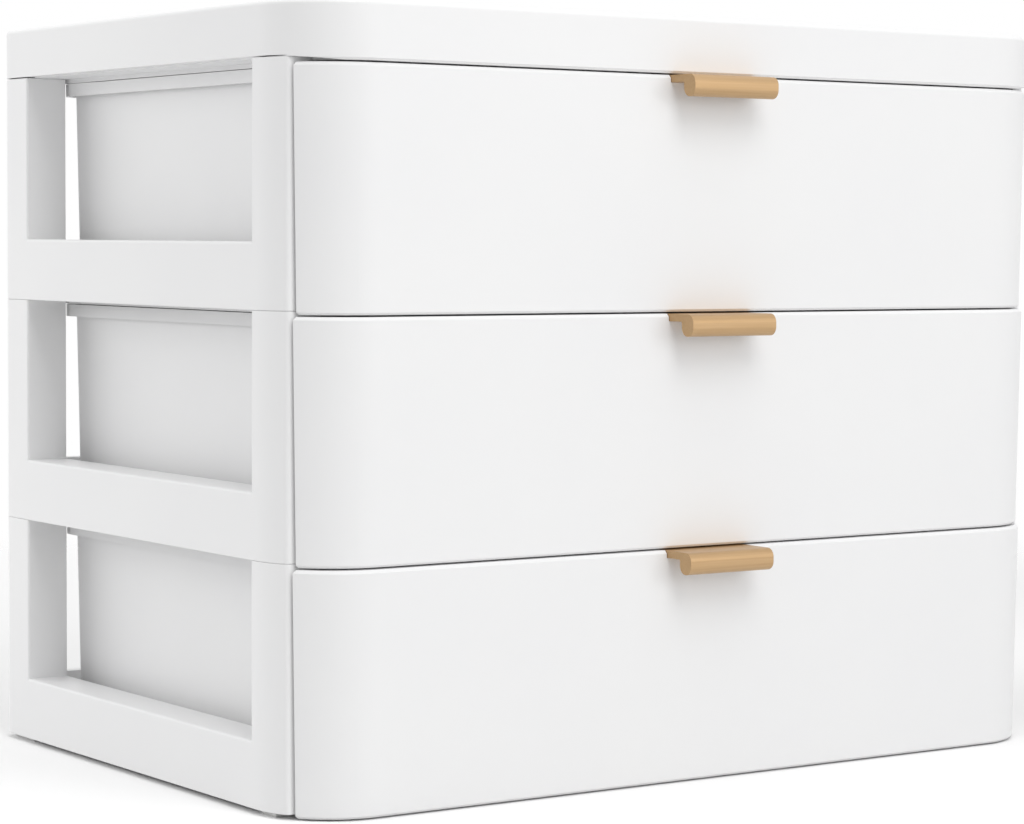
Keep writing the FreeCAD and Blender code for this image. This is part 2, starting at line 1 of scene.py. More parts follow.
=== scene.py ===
"""Desktop mini drawers: the finished look of the three-drawer chest, on a pale studio floor."""

import json
import math

import bpy
from bpy.props import FloatProperty, FloatVectorProperty, PointerProperty
from mathutils import Matrix, Vector

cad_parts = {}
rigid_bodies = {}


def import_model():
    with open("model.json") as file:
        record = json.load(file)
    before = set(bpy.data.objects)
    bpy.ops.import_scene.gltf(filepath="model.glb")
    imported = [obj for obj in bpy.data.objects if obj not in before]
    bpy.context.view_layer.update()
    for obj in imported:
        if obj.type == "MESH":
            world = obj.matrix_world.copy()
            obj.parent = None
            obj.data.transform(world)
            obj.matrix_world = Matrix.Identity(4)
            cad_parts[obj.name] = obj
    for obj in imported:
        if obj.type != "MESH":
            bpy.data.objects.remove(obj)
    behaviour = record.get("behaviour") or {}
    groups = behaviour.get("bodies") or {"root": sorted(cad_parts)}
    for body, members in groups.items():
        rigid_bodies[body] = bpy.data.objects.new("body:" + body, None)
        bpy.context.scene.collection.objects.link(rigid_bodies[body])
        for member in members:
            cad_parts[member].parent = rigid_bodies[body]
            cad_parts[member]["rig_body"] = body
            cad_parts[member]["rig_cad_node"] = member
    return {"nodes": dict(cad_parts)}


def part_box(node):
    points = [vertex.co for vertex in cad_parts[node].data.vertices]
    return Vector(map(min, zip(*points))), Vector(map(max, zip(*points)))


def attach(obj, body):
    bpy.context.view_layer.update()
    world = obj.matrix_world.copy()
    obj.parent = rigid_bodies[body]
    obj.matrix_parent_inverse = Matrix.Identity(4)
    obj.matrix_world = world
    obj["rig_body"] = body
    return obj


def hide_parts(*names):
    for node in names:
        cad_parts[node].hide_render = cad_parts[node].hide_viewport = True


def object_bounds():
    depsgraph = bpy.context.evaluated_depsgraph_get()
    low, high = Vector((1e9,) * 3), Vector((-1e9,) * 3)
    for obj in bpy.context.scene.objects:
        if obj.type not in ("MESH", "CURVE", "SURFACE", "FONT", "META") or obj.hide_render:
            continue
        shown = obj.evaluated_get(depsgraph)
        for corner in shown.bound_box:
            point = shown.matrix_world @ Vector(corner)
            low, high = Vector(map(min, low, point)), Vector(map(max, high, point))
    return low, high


for leftover in list(bpy.data.objects):
    bpy.data.objects.remove(leftover)
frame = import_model()
cad_low, cad_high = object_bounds()

bl_info = {
    "name": "Desktop mini drawers",
    "version": (1, 0, 0),
    "blender": (4, 5, 0),
    "location": "View3D > Sidebar > Mini drawers",
    "description": "Dresses a stacked three-drawer desktop chest and sets its studio",
    "category": "Object",
}

TIERS = ("lower", "middle", "upper")
FEET = ("front_left", "front_right", "rear_left", "rear_right")
CASE_BODY = "case"
CHEST_HEIGHT = cad_high.z - cad_low.z

MERGE_DISTANCE = 1e-6
SLIVER_LENGTH = 2e-6
FLAT_ANGLE = math.radians(0.2)
SOFTEN_ANGLE = math.radians(35)
SMOOTH_ANGLE = math.radians(32)
FLAT_WEIGHT = 80
EDGE_SEGMENTS = 2
LIP_STEPS = 24
GRAIN_DEPTH = 2e-5


# Settings


class DrawersFinish(bpy.types.PropertyGroup):
    """Colours, edge breaks and added shapes of the chest."""

    white: FloatVectorProperty(
        name="White plastic",
        description="Colour of the moulded case, tubs and fronts",
        subtype="COLOR",
        default=(0.89, 0.89, 0.89),
        min=0.0,
        max=1.0,
    )
    white_shade: FloatVectorProperty(
        name="White plastic, deeper",
        description="The slightly deeper white that the plastic drifts towards",
        subtype="COLOR",
        default=(0.875, 0.875, 0.88),
        min=0.0,
        max=1.0,
    )
    gold: FloatVectorProperty(
        name="Champagne gold",
        description="Colour of the finger pulls",
        subtype="COLOR",
        default=(0.49, 0.315, 0.155),
        min=0.0,
        max=1.0,
    )
    gold_light: FloatVectorProperty(
        name="Champagne gold, pale streaks",
        description="Colour of the pale streaks in the finger pulls",
        subtype="COLOR",
        default=(0.53, 0.35, 0.185),
        min=0.0,
        max=1.0,
    )
    rubber: FloatVectorProperty(
        name="Soft white rubber",
        description="Colour of the feet",
        subtype="COLOR",
        default=(0.80, 0.80, 0.79),
        min=0.0,
        max=1.0,
    )
    steel: FloatVectorProperty(
        name="Zinc plate",
        description="Colour of the screws",
        subtype="COLOR",
        default=(0.55, 0.56, 0.58),
        min=0.0,
        max=1.0,
    )
    case_edge: FloatProperty(
        name="Case edge",
        description="Softening of the sharp edges of the case mouldings",
        subtype="DISTANCE",
        default=0.00035,
        min=0.0,
    )
    lid_height: FloatProperty(
        name="Lid height",
        description="Height of the lid above its seat on the posts",
        subtype="DISTANCE",
        default=0.0155,
        min=0.0,
    )
    lid_corner: FloatProperty(
        name="Lid corner",
        description="Radius of the lid's front corners in plan",
        subtype="DISTANCE",
        default=0.025,
        min=0.0,
    )
    seam_gap: FloatProperty(
        name="Lid seam gap",
        description="Height of the fine step under the lid's edge",
        subtype="DISTANCE",
        default=0.00035,
        min=0.0,
    )
    seam_depth: FloatProperty(
        name="Lid seam depth",
        description="How far the fine step runs in under the lid's edge",
        subtype="DISTANCE",
        default=0.003,
        min=0.0,
    )
    seam_start: FloatProperty(
        name="Lid seam start",
        description="How far behind the lid's front the fine step starts",
        subtype="DISTANCE",
        default=0.0118,
        min=0.0,
    )
    lip_height: FloatProperty(
        name="Lip height",
        description="How far the lip hangs below the lid",
        subtype="DISTANCE",
        default=0.001,
        min=0.0,
    )
    lip_bevel: FloatProperty(
        name="Lip bevel",
        description="Bevel of the lip's lower edge",
        subtype="DISTANCE",
        default=0.0007,
        min=0.0,
    )
    lip_thickness: FloatProperty(
        name="Lip thickness",
        description="Thickness of the lip's curved ends",
        subtype="DISTANCE",
        default=0.0013,
        min=0.0,
    )
    lip_sweep: FloatProperty(
        name="Lip sweep",
        description="How far the lip's ends follow the corner",
        subtype="ANGLE",
        default=math.radians(56),
    )
    lip_rise_start: FloatProperty(
        name="Lip rise start",
        description="Distance from the lid's side at which the lip starts to rise",
        subtype="DISTANCE",
        default=0.015,
        min=0.0,
    )
    lip_rise_end: FloatProperty(
        name="Lip rise end",
        description="Distance from the lid's side at which the lip has run out",
        subtype="DISTANCE",
        default=0.0035,
        min=0.0,
    )
    drawer_edge: FloatProperty(
        name="Drawer edge",
        description="Softening of the sharp edges of the tubs and fronts",
        subtype="DISTANCE",
        default=0.0003,
        min=0.0,
    )
    screw_head: FloatProperty(
        name="Screw head",
        description="Height of the pan heads of the screws",
        subtype="DISTANCE",
        default=0.0018,
        min=0.0,
    )
    pull_edge: FloatProperty(
        name="Pull edge",
        description="Softening of the cut ends of the finger pulls",
        subtype="DISTANCE",
        default=0.00015,
        min=0.0,
    )


class DrawersStudio(bpy.types.PropertyGroup):
    """Camera and lamps of the studio."""

    camera_place: FloatVectorProperty(
        name="Camera place",
        description="Where the camera stands",
        subtype="TRANSLATION",
        unit="LENGTH",
        default=(-0.5622, -0.7999, 0.1614),
    )
    camera_turn: FloatProperty(
        name="Camera turn",
        description="How far the camera looks to the right of straight back",
        subtype="ANGLE",
        default=math.radians(34.606),
    )
    camera_dip: FloatProperty(
        name="Camera dip",
        description="How far the camera looks down",
        subtype="ANGLE",
        default=math.radians(3.285),
    )
    camera_roll: FloatProperty(
        name="Camera roll",
        description="How far the camera leans about its own line of sight",
        subtype="ANGLE",
        default=math.radians(0.325),
    )
    camera_lens: FloatProperty(
        name="Camera lens",
        description="Focal length on a 36 mm wide sensor, in millimetres",
        default=107.78,
        min=1.0,
    )
    room_light: FloatProperty(
        name="Room light",
        description="Strength of the even light from all round",
        default=0.516,
        min=0.0,
    )
    key_box: FloatProperty(
        name="Key softbox",
        description="Power of the softbox high in front, in watts",
        default=4.75,
        min=0.0,
    )
    right_box: FloatProperty(
        name="Right softbox",
        description="Power of the low softbox to the right of the front, in watts",
        default=2.69,
        min=0.0,
    )
    left_box: FloatProperty(
        name="Left softbox",
        description="Power of the low softbox at the left side, in watts",
        default=2.6,
        min=0.0,
    )
    back_box: FloatProperty(
        name="Back softbox",
        description="Power of the low softbox at the back left, in watts",
        default=3.5,
        min=0.0,
    )
    top_box: FloatProperty(
        name="Top softbox",
        description="Power of the wide softbox overhead, in watts",
        default=5.6,
        min=0.0,
    )
    box_distance: FloatProperty(
        name="Softbox distance",
        description="How far the four upright softboxes stand from the chest",
        subtype="DISTANCE",
        default=1.3,
        min=0.5,
    )
    box_size: FloatProperty(
        name="Softbox size",
        description="Side of the four upright softboxes",
        subtype="DISTANCE",
        default=0.6,
        min=0.1,
    )
    top_size: FloatProperty(
        name="Top softbox size",
        description="Side of the softbox overhead",
        subtype="DISTANCE",
        default=1.4,
        min=0.1,
    )
    floor_white: FloatProperty(
        name="Floor white",
        description="How pale the floor is to the camera",
        default=1.0,
        min=0.0,
        max=1.0,
    )
    floor_bounce: FloatProperty(
        name="Floor bounce",
        description="How much light the floor throws back at the chest",
        default=0.75,
        min=0.0,
        max=1.0,
    )
    floor_radius: FloatProperty(
        name="Floor radius",
        description="How far the floor reaches before it fades into the backdrop",
        subtype="DISTANCE",
        default=0.75,
        min=0.1,
    )


# Materials


def add_node(tree, kind, place, **settings):
    """Add a node and set its plain settings."""
    node = tree.nodes.new(kind)
    node.location = place
    for name, value in settings.items():
        setattr(node, name, value)
    return node


def new_group(name, knobs, results):
    """A node group with a vector to go by, float knobs and float results."""
    group = bpy.data.node_groups.new(name, "ShaderNodeTree")
    face = group.interface
    face.new_socket("Vector", in_out="INPUT", socket_type="NodeSocketVector")
    for knob, value in knobs:
        socket = face.new_socket(knob, in_out="INPUT", socket_type="NodeSocketFloat")
        socket.default_value = value
    for result in results:
        face.new_socket(result, in_out="OUTPUT", socket_type="NodeSocketFloat")
    return group


def moulded_grain():
    """Shared group: the fine spark grain and slow drift of a moulded surface."""
    group = bpy.data.node_groups.get("Moulded grain")
    if group:
        return group
    knobs = (("Grain", 2600.0), ("Drift", 14.0))
    group = new_group("Moulded grain", knobs, ("Height", "Drift mask"))
    start = add_node(group, "NodeGroupInput", (-600, 0))
    end = add_node(group, "NodeGroupOutput", (400, 0))
    grain = add_node(group, "ShaderNodeTexNoise", (-300, 150))
    grain.inputs["Detail"].default_value = 2.0
    grain.inputs["Roughness"].default_value = 0.6
    drift = add_node(group, "ShaderNodeTexNoise", (-300, -150))
    drift.inputs["Detail"].default_value = 3.0
    spread = add_node(group, "ShaderNodeMapRange", (100, -150))
    spread.inputs["From Min"].default_value = 0.3
    spread.inputs["From Max"].default_value = 0.7
    link = group.links.new
    link(start.outputs["Vector"], grain.inputs["Vector"])
    link(start.outputs["Grain"], grain.inputs["Scale"])
    link(start.outputs["Vector"], drift.inputs["Vector"])
    link(start.outputs["Drift"], drift.inputs["Scale"])
    link(grain.outputs["Fac"], end.inputs["Height"])
    link(drift.outputs["Fac"], spread.inputs["Value"])
    link(spread.outputs["Result"], end.inputs["Drift mask"])
    return group


def brushed_lines():
    """Shared group: fine lines drawn along X by a brush or a die."""
    group = bpy.data.node_groups.get("Brushed lines")
    if group:
        return group
    group = new_group("Brushed lines", (("Lines", 40.0),), ("Height", "Streak mask"))
    start = add_node(group, "NodeGroupInput", (-800, 0))
    end = add_node(group, "NodeGroupOutput", (400, 0))
    stretch = add_node(group, "ShaderNodeMapping", (-600, 0))
    stretch.inputs["Scale"].default_value = (1.0, 60.0, 60.0)
    lines = add_node(group, "ShaderNodeTexNoise", (-300, 0))
    lines.inputs["Detail"].default_value = 4.0
    spread = add_node(group, "ShaderNodeMapRange", (100, -150))
    spread.inputs["From Min"].default_value = 0.35
    spread.inputs["From Max"].default_value = 0.65
    link = group.links.new
    link(start.outputs["Vector"], stretch.inputs["Vector"])
    link(start.outputs["Lines"], lines.inputs["Scale"])
    link(stretch.outputs["Vector"], lines.inputs["Vector"])
    link(lines.outputs["Fac"], end.inputs["Height"])
    link(lines.outputs["Fac"], spread.inputs["Value"])
    link(spread.outputs["Result"], end.inputs["Streak mask"])
    return group


def surface(name, group, mask, colours, roughness, bump, metallic=0.0, specular=0.5):
    """A material whose colour, roughness and bump all follow one shared group.

    The colours and the roughness are pairs that the group's mask mixes, and bump
    is a strength and a depth in metres.
    """
    material = bpy.data.materials.get(name)
    if material:
        return material
    material = bpy.data.materials.new(name)
    material.use_nodes = True
    tree = material.node_tree
    shader = tree.nodes["Principled BSDF"]
    shader.inputs["Metallic"].default_value = metallic
    shader.inputs["Specular IOR Level"].default_value = specular
    place = add_node(tree, "ShaderNodeTexCoord", (-900, 0))
    pattern = add_node(tree, "ShaderNodeGroup", (-700, 0), node_tree=group)
    colour = add_node(tree, "ShaderNodeMix", (-350, 200), data_type="RGBA")
    colour.inputs["A"].default_value = (*colours[0], 1.0)
    colour.inputs["B"].default_value = (*colours[1], 1.0)
    rough = add_node(tree, "ShaderNodeMapRange", (-350, -50))
    rough.inputs["To Min"].default_value = roughness[0]
    rough.inputs["To Max"].default_value = roughness[1]
    relief = add_node(tree, "ShaderNodeBump", (-350, -350))
    relief.inputs["Strength"].default_value = bump[0]
    relief.inputs["Distance"].default_value = bump[1]
    link = tree.links.new
    link(place.outputs["Object"], pattern.inputs["Vector"])
    link(pattern.outputs[mask], colour.inputs["Factor"])
    link(pattern.outputs[mask], rough.inputs["Value"])
    link(pattern.outputs["Height"], relief.inputs["Height"])
    link(colour.outputs["Result"], shader.inputs["Base Color"])
    link(rough.outputs["Result"], shader.inputs["Roughness"])
    link(relief.outputs["Normal"], shader.inputs["Normal"])
    return material


def finish_settings():
    """The chest's settings in the open scene."""
    return bpy.context.scene.drawers_finish


def white_plastic(name, roughness, grain):
    """A satin white moulding with its own gloss and depth of grain."""
    finish = finish_settings()
    return surface(
        name,
        moulded_grain(),
        "Drift mask",
        colours=(finish.white, finish.white_shade),
        roughness=roughness,
        bump=(grain, GRAIN_DEPTH),
        specular=0.35,
    )


def case_plastic():
    """Satin white moulding of the tiers and the lid."""
    return white_plastic("Case plastic", roughness=(0.40, 0.46), grain=0.12)


def front_plastic():
    """Smoother white moulding of the drawer fronts."""
    return white_plastic("Front plastic", roughness=(0.34, 0.40), grain=0.08)


def tub_plastic():
    """Plain white moulding of the drawer tubs."""
    return white_plastic("Tub plastic", roughness=(0.42, 0.50), grain=0.15)


def champagne_gold():
    """Satin plated metal of the finger pulls."""
    finish = finish_settings()
    return surface(
        "Champagne gold",
        brushed_lines(),
        "Streak mask",
        colours=(finish.gold, finish.gold_light),
        roughness=(0.38, 0.44),
        bump=(0.10, GRAIN_DEPTH),
        metallic=0.6,
        specular=0.6,
    )


def zinc_plate():
    """Zinc-plated steel of the screws."""
    finish = finish_settings()
    return surface(
        "Zinc plate",
        brushed_lines(),
        "Streak mask",
        colours=(finish.steel, finish.steel * 0.85),
        roughness=(0.28, 0.40),
        bump=(0.15, GRAIN_DEPTH),
        metallic=1.0,
    )


def foot_rubber():
    """Soft white rubber of the feet."""
    finish = finish_settings()
    return surface(
        "Foot rubber",
        moulded_grain(),
        "Drift mask",
        colours=(finish.rubber, finish.rubber * 0.96),
        roughness=(0.75, 0.9),
        bump=(0.4, 5e-5),
    )


# Making pieces


def pick_only(piece):
    """Leave one object selected and active."""
    bpy.ops.object.select_all(action="DESELECT")
    piece.select_set(True)
    bpy.context.view_layer.objects.active = piece


def apply_all(piece):
    """Apply every modifier of a piece in its order."""
    pick_only(piece)
    for modifier in list(piece.modifiers):
        bpy.ops.object.modifier_apply(modifier=modifier.name)


def edit_all(piece):
    """Open one object in edit mode with its whole mesh selected."""
    pick_only(piece)
    bpy.ops.object.mode_set(mode="EDIT")
    bpy.ops.mesh.select_all(action="SELECT")


def leave_edit():
    """Go back to object mode with nothing selected in the mesh."""
    bpy.ops.mesh.select_all(action="DESELECT")
    bpy.ops.object.mode_set(mode="OBJECT")


def paint(piece, material):
    """Give a piece one material all over."""
    piece.data.materials.clear()
    piece.data.materials.append(material)


def soften(node, piece_name, body, material, edge, carve=None):
    """A merged copy of a CAD node with its sharp edges softened, in the node's place.

    A function given as carve changes the copy once its edges are soft.
    """
    original = frame["nodes"][node]
    pick_only(original)
    bpy.ops.object.duplicate()
    piece = bpy.context.view_layer.objects.active
    piece.name = piece_name
    piece.data.name = piece_name
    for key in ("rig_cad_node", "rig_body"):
        if key in piece:
            del piece[key]
    piece.parent = None
    piece.matrix_world = Matrix.Identity(4)
    pick_only(piece)
    bpy.ops.mesh.customdata_custom_splitnormals_clear()
    edit_all(piece)
    bpy.ops.mesh.remove_doubles(threshold=MERGE_DISTANCE)
    bpy.ops.mesh.dissolve_limited(angle_limit=FLAT_ANGLE)
    leave_edit()
    rounding = piece.modifiers.new("Edge break", "BEVEL")
    rounding.width = edge
    rounding.segments = EDGE_SEGMENTS
    rounding.limit_method = "ANGLE"
    rounding.angle_limit = SOFTEN_ANGLE
    rounding.use_clamp_overlap = True
    rounding.miter_outer = "MITER_ARC"
    apply_all(piece)
    edit_all(piece)
    bpy.ops.mesh.dissolve_degenerate(threshold=SLIVER_LENGTH)
    leave_edit()
    if carve:
        carve(piece)
    bpy.ops.object.shade_smooth_by_angle(angle=SMOOTH_ANGLE)
    leaning = piece.modifiers.new("Flat faces stay flat", "WEIGHTED_NORMAL")
    leaning.weight = FLAT_WEIGHT
    leaning.keep_sharp = True
    apply_all(piece)
    paint(piece, material)
    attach(piece, body)
    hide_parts(node)


def soften_in_drawers(part, look, material, edge):
    """Soften the same part in all three drawers."""
    for tier in TIERS:
        body = f"drawer_{tier}"
        soften(f"{body}_{part}", f"{body}_{look}", body, material, edge)


def draw_line(name, points):
    """A new object with one open line, drawn point by point and left in edit mode.

    A small plane merged to its centre gives the first point.
    """
    bpy.ops.object.select_all(action="DESELECT")
    bpy.ops.mesh.primitive_plane_add(size=0.001, location=(0, 0, 0))
    piece = bpy.context.active_object
    piece.name = name
    piece.data.name = name
    bpy.ops.object.mode_set(mode="EDIT")
    bpy.ops.mesh.select_all(action="SELECT")
    bpy.ops.mesh.merge(type="CENTER")
    bpy.ops.transform.translate(value=points[0])
    for before, after in zip(points, points[1:]):
        step = Vector(after) - Vector(before)
        bpy.ops.mesh.extrude_vertices_move(TRANSFORM_OT_translate={"value": step})
    return piece


def add_block(name, low, high):
    """A plain block between two corners."""
    bpy.ops.object.select_all(action="DESELECT")
    middle = (Vector(low) + Vector(high)) / 2
    bpy.ops.mesh.primitive_cube_add(size=1.0, location=middle)
    block = bpy.context.active_object
    block.name = name
    block.scale = Vector(high) - Vector(low)
    bpy.ops.object.transform_apply(location=True, rotation=True, scale=True)
    return block


def take_away(piece, cutter):
    """Cut one object out of another, with flat triangles only, and drop the cutter."""
    for solid in (piece, cutter):
        edit_all(solid)
        bpy.ops.mesh.quads_convert_to_tris()
        bpy.ops.object.mode_set(mode="OBJECT")
    cutting = piece.modifiers.new("Cut", "BOOLEAN")
    cutting.operation = "DIFFERENCE"
    cutting.solver = "EXACT"
    cutting.object = cutter
    apply_all(piece)
    bpy.data.objects.remove(cutter)


def carve_lid(piece):
    """The fine dark step where the lid sits on the posts, all round but in front."""
    finish = finish_settings()
    low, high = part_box("top_cover")
    seat = high.z - finish.lid_height
    gap = finish.seam_gap
    past = finish.seam_depth
    ring = add_block(
        "seam_ring",
        (low.x - past, low.y + finish.seam_start, seat - gap),
        (high.x + past, high.y + past, seat + gap),
    )
    core = add_block(
        "seam_core",
        (low.x + past, low.y, seat - gap * 2),
        (high.x - past, high.y - past, seat + gap * 2),
    )
    take_away(ring, core)
    take_away(piece, ring)


def add_lip_end(name, side):
    """The curved end of the lid's lip, which rises towards the corner."""
    finish = finish_settings()
    low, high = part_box("top_cover")
    seat = high.z - finish.lid_height
    outer = finish.lid_corner
    bevel = finish.lip_bevel
    centre = Vector((side * (high.x - outer), low.y + outer, 0.0))
    section = (
        (outer, seat),
        (outer, seat - finish.lip_height + bevel),
        (outer - bevel, seat - finish.lip_height),
        (outer - finish.lip_thickness, seat - finish.lip_height),
        (outer - finish.lip_thickness, seat),
    )
    points = [(centre.x, centre.y - reach, height) for reach, height in section]
    piece = draw_line(name, points)
    bpy.ops.mesh.select_all(action="SELECT")
    bpy.ops.mesh.edge_face_add()
    sweep = -side * finish.lip_sweep
    bpy.ops.mesh.spin(steps=LIP_STEPS, angle=sweep, center=centre, axis=(0, 0, 1))
    bpy.ops.mesh.select_all(action="SELECT")
    bpy.ops.mesh.remove_doubles(threshold=MERGE_DISTANCE)
    rise_x = side * (high.x - finish.lip_rise_start)
    start = Vector((rise_x, 0.0, seat - finish.lip_height))
    run = finish.lip_rise_start - finish.lip_rise_end
    slope = Vector((-side * finish.lip_height, 0.0, run)).normalized()
    bpy.ops.mesh.bisect(
        plane_co=start,
        plane_no=slope,
        use_fill=True,
        clear_inner=True,
        threshold=MERGE_DISTANCE,
    )
    bpy.ops.mesh.select_all(action="SELECT")
    bpy.ops.mesh.normals_make_consistent(inside=False)
    bpy.ops.object.mode_set(mode="OBJECT")
    bpy.ops.object.shade_smooth_by_angle(angle=SMOOTH_ANGLE)
    paint(piece, case_plastic())
    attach(piece, CASE_BODY)


class DrawersCase(bpy.types.Operator):
    """The three stacked tier frames and the lid"""

    bl_idname = "drawers.case"
    bl_label = "Case and lid"

    def execute(self, context):
        edge = context.scene.drawers_finish.case_edge
        plastic = case_plastic()
        for tier in TIERS:
            node = f"tier_frame_{tier}"
            soften(node, f"{node}_moulding", CASE_BODY, plastic, edge)
        soften(
            "top_cover",
            "top_cover_moulding",
            CASE_BODY,
            plastic,
            edge,
            carve=carve_lid,
        )
        for name, side in (("left", -1), ("right", 1)):
            add_lip_end(f"top_cover_lip_{name}", side)
        return {"FINISHED"}


class DrawersTubs(bpy.types.Operator):
    """The open tubs that slide in the tiers"""

    bl_idname = "drawers.tubs"
    bl_label = "Drawer tubs"

    def execute(self, context):
        edge = context.scene.drawers_finish.drawer_edge
        soften_in_drawers("tub", "tub_moulding", tub_plastic(), edge)
        return {"FINISHED"}


class DrawersFronts(bpy.types.Operator):
    """The curved front panels"""

    bl_idname = "drawers.fronts"
    bl_label = "Drawer fronts"

    def execute(self, context):
        edge = context.scene.drawers_finish.drawer_edge
        soften_in_drawers("front", "front_panel", front_plastic(), edge)
        return {"FINISHED"}


class DrawersPulls(bpy.types.Operator):
    """The finger pulls hooked over the fronts"""

    bl_idname = "drawers.pulls"
    bl_label = "Finger pulls"

    def execute(self, context):
        edge = context.scene.drawers_finish.pull_edge
        soften_in_drawers("handle", "pull", champagne_gold(), edge)
        return {"FINISHED"}


# Half section of a pan head, as parts of its radius and height
HEAD_PROFILE = (
    (0.0, 1.0),
    (0.55, 0.97),
    (0.80, 0.83),
    (0.95, 0.56),
    (1.0, 0.25),
    (1.0, 0.0),
)
THREAD_TURNS = 6
THREAD_SHARE = 0.8
THREAD_ROOT = 0.82
POINT_SHARE = 0.45
SPIN_STEPS = 40
CROSS_SPAN = 1.15
CROSS_WIDTH = 0.26
CROSS_DEPTH = 0.55


def screw_profile(head_radius, head_height, shank_radius, shank_length):
    """The screw's half section, from the middle of its head to its point."""
    points = [(head_radius * out, head_height * up) for out, up in HEAD_PROFILE]
    points.append((shank_radius, 0.0))
    pitch = shank_length * THREAD_SHARE / THREAD_TURNS
    for turn in range(THREAD_TURNS):
        top = -pitch * turn
        points.append((shank_radius * THREAD_ROOT, top - pitch * 0.5))
        points.append((shank_radius, top - pitch))
    points.append((shank_radius * POINT_SHARE, -shank_length))
    points.append((0.0, -shank_length))
    return points


def turn_profile(name, points, steps):
    """A turned piece: a half section spun about the Y axis."""
    piece = draw_line(name, [(out, up, 0.0) for out, up in points])
    bpy.ops.mesh.select_all(action="SELECT")
    bpy.ops.mesh.spin(steps=steps, angle=math.tau, center=(0, 0, 0), axis=(0, 1, 0))
    bpy.ops.mesh.select_all(action="SELECT")
    bpy.ops.mesh.remove_doubles(threshold=MERGE_DISTANCE)
    bpy.ops.mesh.normals_make_consistent(inside=False)
    bpy.ops.object.mode_set(mode="OBJECT")
    return piece


def cut_cross(piece, span, width, depth, level):
    """Sink a driver's cross into the head of a screw."""
    for long_x, long_z in ((span, width), (width, span)):
        low = (-long_x / 2, level - depth, -long_z / 2)
        high = (long_x / 2, level + depth, long_z / 2)
        take_away(piece, add_block("cross", low, high))


class DrawersScrews(bpy.types.Operator):
    """The two pan-head screws behind each finger pull"""

    bl_idname = "drawers.screws"
    bl_label = "Screws"

    def execute(self, context):
        finish = context.scene.drawers_finish
        low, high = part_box("drawer_upper_screws")
        head_radius = (high.z - low.z) / 2
        head_height = finish.screw_head
        shank_length = high.y - low.y - head_height
        points = screw_profile(head_radius, head_height, head_radius / 2, shank_length)
        pattern = turn_profile("screw_pattern", points, SPIN_STEPS)
        cut_cross(
            pattern,
            head_radius * CROSS_SPAN,
            head_radius * CROSS_WIDTH,
            head_height * CROSS_DEPTH,
            head_height,
        )
        bpy.ops.object.shade_smooth_by_angle(angle=SMOOTH_ANGLE)
        for tier in TIERS:
            body = f"drawer_{tier}"
            low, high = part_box(f"{body}_screws")
            pair = []
            for across in (low.x + head_radius, high.x - head_radius):
                pick_only(pattern)
                bpy.ops.object.duplicate()
                copy = context.active_object
                copy.location = (across, high.y - head_height, (low.z + high.z) / 2)
                pair.append(copy)
            for copy in pair:
                copy.select_set(True)
            bpy.ops.object.join()
            bpy.ops.object.transform_apply(location=True, rotation=True, scale=True)
            piece = context.active_object
            piece.name = f"{body}_screw_pair"
            piece.data.name = piece.name
            paint(piece, zinc_plate())
            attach(piece, body)
            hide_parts(f"{body}_screws")
        bpy.data.objects.remove(pattern)
        return {"FINISHED"}


class DrawersFeet(bpy.types.Operator):
    """Material of the four low feet"""

    bl_idname = "drawers.feet"
    bl_label = "Feet"

    def execute(self, context):
        for foot in FEET:
            paint(frame["nodes"][f"foot_{foot}"], foot_rubber())
        return {"FINISHED"}


# Studio


def white_to_camera(tree, place):
    """A value of one for camera, glossy and transmission rays, and zero for all others."""
    path = add_node(tree, "ShaderNodeLightPath", (place[0] - 500, place[1]))
    first = add_node(tree, "ShaderNodeMath", (place[0] - 250, place[1]), operation="MAXIMUM")
    both = add_node(tree, "ShaderNodeMath", place, operation="MAXIMUM")
    link = tree.links.new
    link(path.outputs["Is Camera Ray"], first.inputs[0])
    link(path.outputs["Is Glossy Ray"], first.inputs[1])
    link(first.outputs["Value"], both.inputs[0])
    link(path.outputs["Is Transmission Ray"], both.inputs[1])
    return both.outputs["Value"]


def set_world(strength):
    """Even room light, and a plain white backdrop."""
    world = bpy.data.worlds.new("Studio room")
    bpy.context.scene.world = world
    world.use_nodes = True
    tree = world.node_tree
    tree.nodes.clear()
    end = add_node(tree, "ShaderNodeOutputWorld", (400, 0))
    choose = add_node(tree, "ShaderNodeMixShader", (200, 0))
    room = add_node(tree, "ShaderNodeBackground", (-50, 0))
    room.inputs["Color"].default_value = (1.0, 1.0, 1.0, 1.0)
    room.inputs["Strength"].default_value = strength
    backdrop = add_node(tree, "ShaderNodeBackground", (-50, -150))
    backdrop.inputs["Color"].default_value = (1.0, 1.0, 1.0, 1.0)
    backdrop.inputs["Strength"].default_value = 1.0
    link = tree.links.new
    link(white_to_camera(tree, (-50, 200)), choose.inputs["Fac"])
    link(room.outputs["Background"], choose.inputs[1])
    link(backdrop.outputs["Background"], choose.inputs[2])
    link(choose.outputs["Shader"], end.inputs["Surface"])


FADE_START = 0.55


